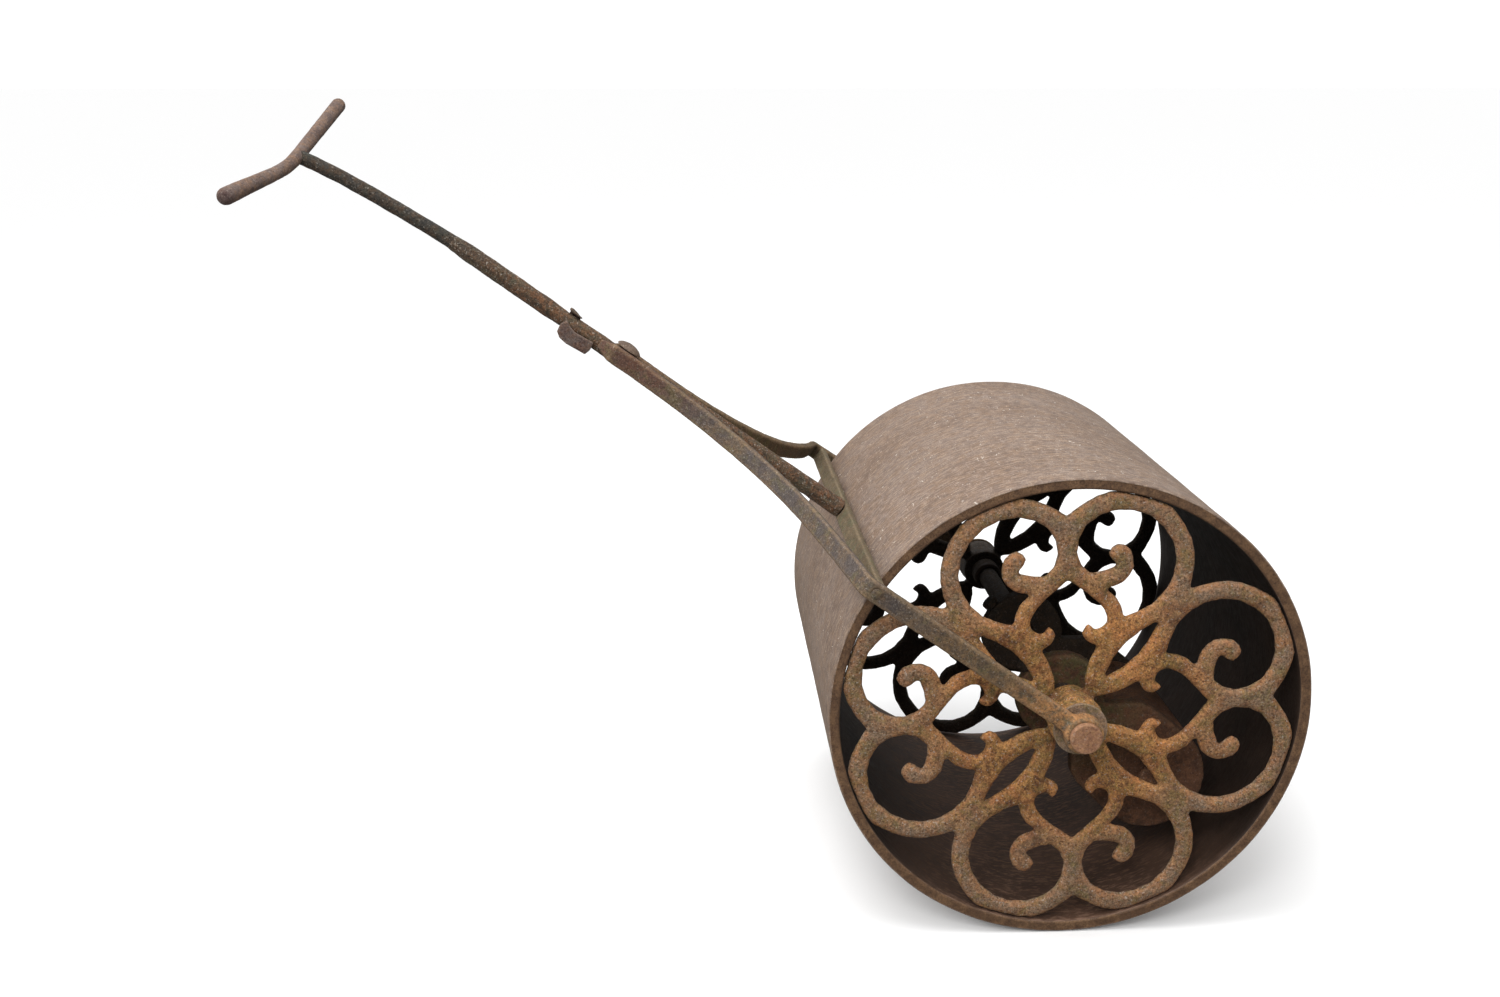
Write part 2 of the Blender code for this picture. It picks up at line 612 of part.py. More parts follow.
def cross_stay():
    """The flat bar across the drum, between the arms."""
    reach = ARM_SIDE * UNIT - ARM_THICKNESS / 2 - GAP
    half = STAY_WIDTH / 2
    stay = box("cross_stay", (STAY_INNER, -reach, -half), (STAY_OUTER, reach, half), STAY_IRON, 0.0012)
    lean = ARM_SAG["far"] - ARM_SAG["near"]
    tilt = Matrix.Rotation(math.atan2(lean, 2 * reach), 4, "X")
    seat(stay, HANDLE_AXIS, Matrix.Translation((0.0, 0.0, -lean / 2)) @ tilt)
    hole = disc("tenon_hole", TENON_RADIUS + 2 * GAP, STAY_INNER - 0.01, STAY_OUTER + 0.01, STAY_IRON,
                sides=16, collection=CUTTERS)
    hole.data.transform(
        Matrix.Translation((0.0, 0.0, -shaft_drop(STAY_INNER))) @ Matrix.Rotation(math.pi / 2, 4, "Y"))
    boolean(stay, hole, "DIFFERENCE")
    seat(hole, HANDLE_AXIS)
    head = ARM_SIDE * UNIT + ARM_THICKNESS / 2 + GAP
    depth = reach - 0.020
    tenon = STAY_RIVET_RADIUS - 0.001
    for end in ENDS:
        socket = disc("stay_socket_" + end, tenon + GAP, depth - GAP, reach + 0.01, STAY_IRON,
                      sides=16, collection=CUTTERS, edge=0.0005)
        boolean(stay, socket, "DIFFERENCE")
        rivet = turned(
            "stay_rivet_" + end,
            [(0.0, head + 0.0022), (0.0035, head + 0.0018), (0.0062, head + 0.0006), (0.0065, head),
             (STAY_RIVET_RADIUS, head), (STAY_RIVET_RADIUS, reach + 2 * GAP),
             (tenon, reach + 2 * GAP), (tenon, depth), (0.0, depth)],
            PIN_IRON, 16, closed=False)
        seat(socket, HANDLE_AXIS, rivet_place(end))
        seat(rivet, HANDLE_AXIS, rivet_place(end))
    return stay


# ------------------------------------------------------------------ shaft, rod and grip
SHAFT_END = 3.150 * UNIT
CLAMP_RIVET_AT = 2.259 * UNIT
SHAFT_DROP = (0.0020, 0.0015)   # of the shaft's axis below the handle's, at its two ends
BAND_AT = 2.525 * UNIT
ROD_LINE = [(3.150, -SHAFT_DROP[1] / UNIT), (3.260, -0.011), (3.400, -0.021), (3.540, -0.032), (3.680, -0.047),
            (3.790, -0.063), (3.861, -0.077)]
GRIP_CENTRE = Vector((3.861, 0.0, -0.077)) * UNIT
GRIP_APEX = 0.130 * UNIT        # the bend's place, towards the near side
GRIP_NEAR = 0.503 * UNIT
GRIP_FAR = 0.770 * UNIT
GRIP_SWEEP = 0.075 * UNIT       # of both ends, away from the drum


def shaft_drop(out):
    """How far the shaft's axis lies below the line through the axle."""
    part = (out - STAY_INNER) / (SHAFT_END - STAY_INNER)
    return SHAFT_DROP[0] + (SHAFT_DROP[1] - SHAFT_DROP[0]) * part


def handle_shaft():
    """The forged octagonal bar from the stay to where it is welded to the rod."""
    stations = [
        (STAY_INNER + 0.0005, TENON_RADIUS), (STAY_OUTER + GAP, TENON_RADIUS),
        (STAY_OUTER + 2 * GAP, 0.0118), (1.220 * UNIT, 0.0113),
        (1.500 * UNIT, 0.0107), (2.100 * UNIT, SHAFT_RADIUS), (2.390 * UNIT, SHAFT_RADIUS),
        (2.560 * UNIT, 0.0098), (2.650 * UNIT, 0.0109), (3.060 * UNIT, 0.0106),
        (SHAFT_END - 3 * GAP, 0.0089)]
    path = [(out, 0.0, -shaft_drop(out)) for out, _ in stations]
    shaft = round_bar("handle_shaft", path, [radius for _, radius in stations], BAR_IRON, 2)
    seat(shaft, HANDLE_AXIS)
    drill = disc("clamp_drill", 0.0050 + GAP, -0.03, 0.03, BAR_IRON, sides=16, collection=CUTTERS)
    drill.data.transform(Matrix.Translation((CLAMP_RIVET_AT, 0.0, 0.0)))
    boolean(shaft, drill, "DIFFERENCE")
    seat(drill, HANDLE_AXIS)
    return shaft


def clamp_rivet():
    """The big rivet whose head holds both arms to the shaft."""
    lift = ARM_WIDTH / 2 + GAP
    low = -SHAFT_RADIUS - shaft_drop(CLAMP_RIVET_AT) - GAP
    shank = 0.0050
    rivet = turned(
        "clamp_rivet",
        [(0.0, lift + 0.0070), (0.0060, lift + 0.0064), (0.0115, lift + 0.0045), (0.0150, lift + 0.0018),
         (0.0160, lift), (shank, lift), (shank, low), (0.0075, low), (0.0075, low - 0.0015),
         (shank, low - 0.0028), (0.0, low - 0.0028)], PIN_IRON, 24, closed=False)
    return seat(rivet, HANDLE_AXIS, Matrix.Translation((CLAMP_RIVET_AT, 0.0, 0.0)))


def clamp_band():
    """The strap under and behind the shaft, with a lug on its near side and a key on top."""
    drop = shaft_drop(BAND_AT)
    inner = 0.0106
    outer = 0.0130
    sweep = [math.radians(degrees) for degrees in range(-20, -281, -20)]
    ring = [(outer * math.cos(angle), outer * math.sin(angle)) for angle in sweep]
    ring += [(inner * math.cos(angle), inner * math.sin(angle)) for angle in sweep[::-1]]
    band = flat_solid("clamp_band", [ring], 0.0075, BAR_IRON)
    # The strap's outline has x to the near side and y up, so it is stood across the handle.
    across = Matrix(((0, 0, 1, 0), (1, 0, 0, 0), (0, 1, 0, 0), (0, 0, 0, 1)))
    band.data.transform(Matrix.Translation((BAND_AT + 0.0025, 0.0, -drop)) @ across)
    lug_face = [(0.0080, 0.0020), (0.0120, -0.0060), (0.0105, -0.0160), (0.0040, -0.0205),
                (-0.0060, -0.0218), (-0.0300, -0.0200), (-0.0322, -0.0128), (-0.0305, -0.0026),
                (-0.0200, -0.0036), (-0.0066, -0.0045), (0.0020, -0.0020)]
    lug_foot = [(0.0105, -0.0150), (0.0040, -0.0205), (-0.0060, -0.0218), (-0.0300, -0.0200),
                (-0.0318, -0.0140), (-0.0100, -0.0142)]
    upright = Matrix.Rotation(math.pi / 2, 4, "X")
    for name, outline, near, half in (("lug_face", lug_face, 0.0142, 0.0018),
                                      ("lug_foot", lug_foot, 0.0140, 0.0100)):
        lug = flat_solid(name, [outline], half, BAR_IRON, 0.0008, CUTTERS)
        boolean(band, lug, "UNION")
        seat(lug, HANDLE_AXIS, Matrix.Translation((BAND_AT, near - half, 0.0)) @ upright)
    seat(band, HANDLE_AXIS)
    key_outline = [(-0.0050, 0.0), (0.0100, 0.0), (0.0112, 0.0014), (0.0100, 0.0030), (0.0070, 0.0032)]
    key_low = outer + GAP - drop
    key = flat_solid("band_key", [key_outline], 0.0045, PIN_IRON, 0.0005)
    return seat(key, HANDLE_AXIS, Matrix.Translation((BAND_AT, 0.0, key_low)) @ upright)


def grip_path():
    """The grip's centre line: a shallow bend, twisted about the handle."""
    along = Vector((0.0, -math.cos(GRIP_TWIST), math.sin(GRIP_TWIST)))
    out = Vector((1.0, 0.0, 0.0))
    apex = GRIP_CENTRE - along * GRIP_APEX
    near = apex - along * GRIP_NEAR + out * GRIP_SWEEP
    far = apex + along * GRIP_FAR + out * GRIP_SWEEP
    near_start = apex.lerp(near, 0.22)
    far_start = apex.lerp(far, 0.14)
    bend = []
    for k in range(7):
        t = k / 6
        bend.append((1 - t) ** 2 * near_start + 2 * t * (1 - t) * apex + t ** 2 * far_start)
    return near, bend, far


def rounded_end(tip, inner, radius):
    """Stations that round a bar's end off, from its tip inwards."""
    inward = (inner - tip).normalized()
    stations = []
    for degrees in (75.0, 50.0, 25.0, 0.0):
        angle = math.radians(degrees)
        stations.append((tip + inward * radius * (1 - math.sin(angle)), radius * math.cos(angle)))
    return stations


def grip_stations(clearance):
    """Places and radii along the grip, thicker towards its ends."""
    near, bend, far = grip_path()
    stations = rounded_end(near, bend[0], GRIP_NEAR_RADIUS)
    stations += [(point, GRIP_RADIUS) for point in bend]
    stations += rounded_end(far, bend[-1], GRIP_FAR_RADIUS)[::-1]
    return [place for place, _ in stations], [radius + clearance for _, radius in stations]


def rod_and_grip():
    """The thinner rod, curved down to the grip and fitted round it."""
    path, radii = grip_stations(0.0)
    seat(round_bar("grip_bar", path, radii, PIN_IRON, 6), HANDLE_AXIS)
    line = [point * UNIT for point in spline_through(ROD_LINE, 1)]
    rod = round_bar("handle_rod", [(point.x, 0.0, point.y) for point in line],
                    [0.0087] + [ROD_RADIUS] * (len(line) - 1), BAR_IRON, 4)
    path, radii = grip_stations(GAP)
    room = round_bar("grip_room", path, radii, BAR_IRON, 6, CUTTERS)
    boolean(rod, room, "DIFFERENCE")
    seat(rod, HANDLE_AXIS)
    seat(room, HANDLE_AXIS)


drum_shell()
end_scroll("near", NEAR_SCROLL_TURN)
end_scroll("far", FAR_SCROLL_TURN)
axle()
for which in ENDS:
    axle_fittings(which)
    fork_arm(which)
counterweight()
cross_stay()
handle_shaft()
clamp_rivet()
clamp_band()
rod_and_grip()
bpy.context.view_layer.update()
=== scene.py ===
"""Looks of the cast-iron lawn roller: forged and cast surfaces, rust, floor, light and camera."""

import math

import bpy
import numpy as np
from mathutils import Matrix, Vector, noise
from mathutils.kdtree import KDTree


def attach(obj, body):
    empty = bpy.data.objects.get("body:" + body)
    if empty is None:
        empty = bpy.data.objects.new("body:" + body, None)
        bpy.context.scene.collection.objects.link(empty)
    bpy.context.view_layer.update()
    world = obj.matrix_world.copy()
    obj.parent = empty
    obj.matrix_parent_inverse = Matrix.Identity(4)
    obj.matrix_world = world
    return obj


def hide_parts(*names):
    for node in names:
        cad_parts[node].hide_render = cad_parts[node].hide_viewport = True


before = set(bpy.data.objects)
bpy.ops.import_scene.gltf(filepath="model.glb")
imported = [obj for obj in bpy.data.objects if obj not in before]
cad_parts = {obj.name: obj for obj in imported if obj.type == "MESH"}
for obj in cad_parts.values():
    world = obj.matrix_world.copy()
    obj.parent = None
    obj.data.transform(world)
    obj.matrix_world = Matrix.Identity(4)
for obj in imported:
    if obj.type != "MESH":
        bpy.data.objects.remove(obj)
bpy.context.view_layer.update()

SCENE = bpy.context.scene
AXIS_HEIGHT = 0.254
WHITE = (1.0, 1.0, 1.0, 1.0)


# ---------------------------------------------------------------- camera, floor and light

CAMERA_PLACE = (-0.4015, -1.7515, 0.9065)
CAMERA_AIM = (0.0427, 0.9629, -0.2664)
CAMERA_LENS = 37.76
SENSOR_WIDTH = 36.0
FLOOR_HALF = 60.0
FLOOR_DROP = 0.0004
SKY_TOP = 1.34
SKY_RIM = 0.30
SKY_SHOWN = 1.05
FLOOR_SEEN = 0.97
FLOOR_GLOW = 0.04
FLOOR_BOUNCE = 0.20
FLOOR_BOUNCE_BLUE = 0.97        # of the bounce, which is a touch warm
LIGHTS = (                      # name, place, point it faces, side in metres, watts
    ("light_top", (-0.6, -0.6, 2.6), (0, 0, 0.3), 1.4, 24.0),
    ("light_front", (-1.1, -2.5, 2.3), (0, 0, 0.3), 1.1, 36.0),
    ("light_side", (-3.0, -0.3, 1.5), (0, 0, 0.25), 1.4, 28.0),
)


def make_camera():
    """The camera at the photograph's viewing angle."""
    data = bpy.data.cameras.new("camera")
    data.lens = CAMERA_LENS
    data.sensor_width = SENSOR_WIDTH
    camera = bpy.data.objects.new("camera", data)
    SCENE.collection.objects.link(camera)
    camera.location = CAMERA_PLACE
    camera.rotation_mode = "QUATERNION"
    camera.rotation_quaternion = Vector(CAMERA_AIM).to_track_quat("-Z", "Y")
    SCENE.camera = camera


def make_floor():
    """A plain pale floor that gives less light back than it shows, as under a tent of cloth."""
    mesh = bpy.data.meshes.new("floor")
    half = FLOOR_HALF
    corners = [(-half, -half, 0), (half, -half, 0), (half, half, 0), (-half, half, 0)]
    mesh.from_pydata(corners, [], [(0, 1, 2, 3)])
    floor = bpy.data.objects.new("floor", mesh)
    floor.location.z = -FLOOR_DROP
    SCENE.collection.objects.link(floor)
    material = bpy.data.materials.new("floor_white")
    material.use_nodes = True
    nodes, links = material.node_tree.nodes, material.node_tree.links
    shader = nodes["Principled BSDF"]
    shader.inputs["Roughness"].default_value = 0.9
    shader.inputs["Specular IOR Level"].default_value = 0.1
    path = nodes.new("ShaderNodeLightPath")
    blend = nodes.new("ShaderNodeMix")
    blend.data_type = "RGBA"
    blue = FLOOR_BOUNCE * FLOOR_BOUNCE_BLUE
    blend.inputs["A"].default_value = (FLOOR_BOUNCE, FLOOR_BOUNCE, blue, 1)
    blend.inputs["B"].default_value = (FLOOR_SEEN, FLOOR_SEEN, FLOOR_SEEN, 1)
    links.new(path.outputs["Is Camera Ray"], blend.inputs["Factor"])
    links.new(blend.outputs["Result"], shader.inputs["Base Color"])
    glow = nodes.new("ShaderNodeMath")
    glow.operation = "MULTIPLY"
    glow.inputs[1].default_value = FLOOR_GLOW
    shader.inputs["Emission Color"].default_value = WHITE
    links.new(path.outputs["Is Camera Ray"], glow.inputs[0])
    links.new(glow.outputs["Value"], shader.inputs["Emission Strength"])
    mesh.materials.append(material)


def make_sky():
    """Soft light that is strongest overhead; the background itself shows white."""
    world = bpy.data.worlds.new("studio")
    SCENE.world = world
    world.use_nodes = True
    nodes, links = world.node_tree.nodes, world.node_tree.links
    lit = nodes["Background"]
    lit.inputs["Color"].default_value = WHITE
    shown = nodes.new("ShaderNodeBackground")
    shown.inputs["Color"].default_value = WHITE
    shown.inputs["Strength"].default_value = SKY_SHOWN
    place = nodes.new("ShaderNodeTexCoord")
    parts = nodes.new("ShaderNodeSeparateXYZ")
    height = nodes.new("ShaderNodeMapRange")
    height.inputs["From Min"].default_value = 0.0
    height.inputs["From Max"].default_value = 1.0
    height.inputs["To Min"].default_value = SKY_RIM
    height.inputs["To Max"].default_value = SKY_TOP
    path = nodes.new("ShaderNodeLightPath")
    blend = nodes.new("ShaderNodeMixShader")
    links.new(place.outputs["Generated"], parts.inputs["Vector"])
    links.new(parts.outputs["Z"], height.inputs["Value"])
    links.new(height.outputs["Result"], lit.inputs["Strength"])
    links.new(path.outputs["Is Camera Ray"], blend.inputs["Fac"])
    links.new(lit.outputs["Background"], blend.inputs[1])
    links.new(shown.outputs["Background"], blend.inputs[2])
    links.new(blend.outputs["Shader"], nodes["World Output"].inputs["Surface"])


def soft_box(name, place, aim, size, power):
    """A square area light that faces a point."""
    data = bpy.data.lights.new(name, "AREA")
    data.size = size
    data.energy = power
    light = bpy.data.objects.new(name, data)
    light.location = place
    light.rotation_mode = "QUATERNION"
    light.rotation_quaternion = (Vector(aim) - Vector(place)).to_track_quat("-Z", "Y")
    SCENE.collection.objects.link(light)


def make_lights():
    """A soft box overhead, a stronger one in front and one on the handle's side."""
    for light in LIGHTS:
        soft_box(*light)


# ---------------------------------------------------------------- procedural rust

class Tree:
    """Short names for building a material's nodes."""

    def __init__(self, name):
        self.material = bpy.data.materials.new(name)
        self.material.use_nodes = True
        self.nodes = self.material.node_tree.nodes
        self.links = self.material.node_tree.links
        self.shader = self.nodes["Principled BSDF"]
        self.place = self.nodes.new("ShaderNodeTexCoord").outputs["Object"]

    def put(self, socket, value):
        """Link a socket to another, or set it to a number or colour."""
        if isinstance(value, bpy.types.NodeSocket):
            self.links.new(value, socket)
        else:
            socket.default_value = value

    def stretched(self, scale, turn=(0, 0, 0)):
        """The object's own coordinates, turned and scaled."""
        node = self.nodes.new("ShaderNodeMapping")
        node.inputs["Scale"].default_value = scale
        node.inputs["Rotation"].default_value = turn
        self.links.new(self.place, node.inputs["Vector"])
        return node.outputs["Vector"]

    def noise(self, scale, detail=4.0, roughness=0.6, distortion=0.0, place=None):
        """Noise with features about 1 / scale of a metre across."""
        node = self.nodes.new("ShaderNodeTexNoise")
        node.inputs["Scale"].default_value = scale
        node.inputs["Detail"].default_value = detail
        node.inputs["Roughness"].default_value = roughness
        node.inputs["Distortion"].default_value = distortion
        self.links.new(place or self.place, node.inputs["Vector"])
        return node.outputs["Fac"]

    def cells(self, scale):
        """Distance to the nearest of scattered points."""
        node = self.nodes.new("ShaderNodeTexVoronoi")
        node.inputs["Scale"].default_value = scale
        self.links.new(self.place, node.inputs["Vector"])
        return node.outputs["Distance"]

    def span(self, value, low, high, to_low=0.0, to_high=1.0):
        """value from low to high becomes to_low to to_high, and no more."""
        node = self.nodes.new("ShaderNodeMapRange")
        node.inputs["From Min"].default_value = low
        node.inputs["From Max"].default_value = high
        node.inputs["To Min"].default_value = to_low
        node.inputs["To Max"].default_value = to_high
        self.links.new(value, node.inputs["Value"])
        return node.outputs["Result"]

    def math(self, operation, first, second=0.0):
        node = self.nodes.new("ShaderNodeMath")
        node.operation = operation
        self.put(node.inputs[0], first)
        self.put(node.inputs[1], second)
        return node.outputs[0]

    def mix(self, share, first, second, kind="MIX"):
        """first at a share of 0, second at 1."""
        node = self.nodes.new("ShaderNodeMix")
        node.data_type = "RGBA"
        node.blend_type = kind
        self.put(node.inputs["Factor"], share)
        self.put(node.inputs["A"], first)
        self.put(node.inputs["B"], second)
        return node.outputs["Result"]

    def grey(self, value):
        """A number as a grey colour."""
        node = self.nodes.new("ShaderNodeCombineColor")
        for name in ("Red", "Green", "Blue"):
            self.links.new(value, node.inputs[name])
        return node.outputs["Color"]

    def dappled(self, colour, value, amount, low=0.34, high=0.66):
        """colour made darker to lighter by up to amount as value goes from low to high."""
        shade = self.grey(self.span(value, low, high, 1.0 - amount, 1.0 + amount))
        return self.mix(1.0, colour, shade, "MULTIPLY")

    def attribute(self, name):
        """A number that the mesh carries at each vertex."""
        node = self.nodes.new("ShaderNodeAttribute")
        node.attribute_name = name
        return node.outputs["Fac"]

    def bump(self, height, strength, depth, below=None):
        """A relief of the given depth in metres, on top of the one below."""
        node = self.nodes.new("ShaderNodeBump")
        node.inputs["Strength"].default_value = strength
        node.inputs["Distance"].default_value = depth
        self.links.new(height, node.inputs["Height"])
        if below is not None:
            self.links.new(below, node.inputs["Normal"])
        return node.outputs["Normal"]

    def finished(self, colour, roughness, specular, normal):
        """The material, with its shader fed; specular is one number all over."""
        self.links.new(colour, self.shader.inputs["Base Color"])
        self.links.new(roughness, self.shader.inputs["Roughness"])
        self.shader.inputs["Specular IOR Level"].default_value = specular
        self.links.new(normal, self.shader.inputs["Normal"])
        return self.material


def rgb(red, green, blue):
    return (red, green, blue, 1.0)


SPECK_TONE = rgb(0.50, 0.45, 0.39)
RUST_ROUGH = (0.72, 0.95)
RUST_SPECULAR = 0.35
RUST_RELIEF = 0.7               # strength of each of the three reliefs


def rust(
    name,
    deep,
    body,
    bright,
    worn,
    patch=22.0,
    mottle=130.0,
    grain=0.45,
    wear=0.6,
    chalk=0.25,
    moss=None,
    moss_share=0.0,
    root_tone=None,
    root_share=0.8,
    outer=None,
    end_tone=None,
    relief=1.0,
    speckle=0.15,
):
    """Rusted iron: patches, mottling, grain, pale specks, pits, worn edges and painted shade in
    hollows.

    deep, body, bright and worn are its tones from the hollows to the edges, and deep is also
    painted into the hollows as shade. moss grows in patches, root_tone lies round the axle and
    outer far from it, and end_tone is brought in by the piece's "end" attribute. patch and mottle
    are scales; wear, grain, speckle, chalk, the shares and relief are amounts."""
    t = Tree(name)
    # Patches and mottling.
    broad = t.span(t.noise(patch, 5, 0.62, 0.4), 0.38, 0.60)
    small = t.span(t.noise(mottle, 6, 0.72, 0.3), 0.45, 0.58)
    colour = t.mix(broad, deep, body)
    colour = t.mix(t.math("MULTIPLY", small, 0.8), colour, bright)
    # Tones that belong to a part of the roller.
    if outer:
        cover = t.span(t.noise(40, 4, 0.7), 0.34, 0.56, 0.35, 1.0)
        colour = t.mix(t.math("MULTIPLY", t.attribute("outer"), cover), colour, outer)
    if end_tone:
        cover = t.span(t.noise(60, 4, 0.7), 0.3, 0.6, 0.5, 1.0)
        colour = t.mix(t.math("MULTIPLY", t.attribute("end"), cover), colour, end_tone)
    if moss:
        growth = t.span(t.noise(55, 5, 0.7, 0.5), 0.50, 0.62)
        colour = t.mix(t.math("MULTIPLY", growth, moss_share), colour, moss)
    if root_tone:
        cover = t.span(t.noise(95, 4, 0.7), 0.40, 0.56, 0.0, root_share)
        colour = t.mix(t.math("MULTIPLY", t.attribute("root"), cover), colour, root_tone)
    # Grain, worn edges, painted shade in the hollows, pale specks and pits.
    fine = t.noise(520, 4, 0.8)
    colour = t.dappled(colour, fine, grain)
    colour = t.dappled(colour, t.noise(230, 5, 0.75), speckle, 0.38, 0.62)
    edge = t.span(t.attribute("wear"), 0.54, 0.78)
    edge = t.math("MULTIPLY", edge, t.span(fine, 0.36, 0.58, 0.35, 1.0))
    colour = t.mix(t.math("MULTIPLY", edge, wear), colour, worn)
    # Painted shade: where the wear attribute is low, in the hollows, the colour is darkened towards
    # deep.
    colour = t.mix(t.span(t.attribute("wear"), 0.46, 0.24, 0.0, 0.7), colour, deep)
    specks = t.span(t.noise(330, 2, 0.9), 0.60, 0.68, 0.0, chalk)
    colour = t.mix(specks, colour, SPECK_TONE)
    dots = t.cells(210)
    pits = t.span(dots, 0.15, 0.28)
    colour = t.mix(t.span(dots, 0.15, 0.28, 0.65, 0.0), colour, deep)
    # Relief, from broad to fine.
    strength = RUST_RELIEF * relief
    normal = t.bump(t.noise(150, 5, 0.65), strength, 0.0018)
    normal = t.bump(t.noise(560, 3, 0.8), strength, 0.0007, normal)
    normal = t.bump(pits, strength, 0.0005, normal)
    roughness = t.span(small, 0.0, 1.0, *RUST_ROUGH)
    return t.finished(colour, roughness, RUST_SPECULAR, normal)


ROLL_STRETCH = 22.0             # marks a radian along the roll
LINE_SCALE = 330.0              # marks a metre across it
SCUFF_SCALE = (160, 40, 900)
SCUFF_TURN = (0.3, 0.5, 0.2)
CHIP_SCALE = (210, 120, 300)
CHIP_TURN = (0.5, 0.2, 0.7)
CHIP_CUT = (0.682, 0.708)       # noise at which the skin goes from whole to chipped
LIT_BOTTOM_FROM = (2.25, 2.80)     # radians from the top, where the inside is painted lighter, as light falling on its bottom
DRUM_SPECULAR = 0.4


def drum_skin():
    """Rolled plate: mauve brown with thin marks along the roll, scuffs and small pale chips."""
    t = Tree("drum_skin")
    # Patches.
    broad = t.span(t.noise(9, 5, 0.6, 0.5), 0.36, 0.64)
    colour = t.mix(broad, rgb(0.165, 0.108, 0.077), rgb(0.222, 0.163, 0.130))
    small = t.span(t.noise(60, 6, 0.72, 0.3), 0.46, 0.58, 0.0, 0.7)
    colour = t.mix(small, colour, rgb(0.225, 0.142, 0.088))
    # Marks along the roll, by angle and by place along the axle.
    angle = t.attribute("around")
    place = t.nodes.new("ShaderNodeCombineXYZ")
    parts = t.nodes.new("ShaderNodeSeparateXYZ")
    t.links.new(t.place, parts.inputs["Vector"])
    t.links.new(t.math("MULTIPLY", angle, ROLL_STRETCH), place.inputs["X"])
    t.links.new(t.math("MULTIPLY", parts.outputs["Y"], LINE_SCALE), place.inputs["Y"])
    t.links.new(t.attribute("depth"), place.inputs["Z"])
    lines = t.noise(1.0, 5, 0.7, 0.25, place.outputs["Vector"])
    colour = t.mix(t.span(lines, 0.50, 0.62, 0.0, 0.8), colour, rgb(0.33, 0.250, 0.190))
    colour = t.mix(t.span(lines, 0.49, 0.37, 0.0, 0.8), colour, rgb(0.115, 0.076, 0.055))
    # Scuffs, grain, chips and worn edges.
    scuffs = t.noise(1.0, 3, 0.8, 0.6, t.stretched(SCUFF_SCALE, SCUFF_TURN))
    colour = t.mix(t.span(scuffs, 0.60, 0.70, 0.0, 0.45), colour, rgb(0.42, 0.35, 0.30))
    fine = t.noise(560, 4, 0.8)
    colour = t.dappled(colour, fine, 0.30)
    where = t.span(t.noise(22, 3, 0.6), 0.42, 0.56)
    chips = t.noise(1.0, 2, 0.9, 0.8, t.stretched(CHIP_SCALE, CHIP_TURN))
    chips = t.math("MULTIPLY", t.span(chips, *CHIP_CUT), where)
    colour = t.mix(chips, colour, rgb(0.70, 0.65, 0.58))
    edge = t.span(t.attribute("wear"), 0.55, 0.85, 0.0, 0.5)
    colour = t.mix(edge, colour, rgb(0.33, 0.25, 0.19))
    # The inside, painted near black as shade, and its bottom painted lighter as lit, with streaks
    # along the roll.
    inside_painted_shade = t.mix(broad, rgb(0.022, 0.012, 0.007), rgb(0.042, 0.022, 0.013))
    bottom_painted_light = t.mix(broad, rgb(0.062, 0.032, 0.019), rgb(0.125, 0.064, 0.038))
    bottom_painted_light = t.mix(t.span(lines, 0.48, 0.62, 0.0, 0.8), bottom_painted_light, rgb(0.250, 0.145, 0.095))
    inside_painted_shade = t.mix(t.span(angle, *LIT_BOTTOM_FROM), inside_painted_shade, bottom_painted_light)
    colour = t.mix(t.attribute("inside"), colour, inside_painted_shade)
    # The two rims.
    rim = t.mix(small, rgb(0.100, 0.052, 0.026), rgb(0.178, 0.098, 0.048))
    colour = t.mix(t.attribute("rim"), colour, t.dappled(rim, fine, 0.5))
    normal = t.bump(t.noise(55, 5, 0.6), 0.5, 0.0016)
    normal = t.bump(lines, 0.35, 0.0005, normal)
    normal = t.bump(t.noise(820, 3, 0.8), 0.5, 0.0004, normal)
    return t.finished(colour, t.span(lines, 0.35, 0.65, 0.58, 0.82), DRUM_SPECULAR, normal)


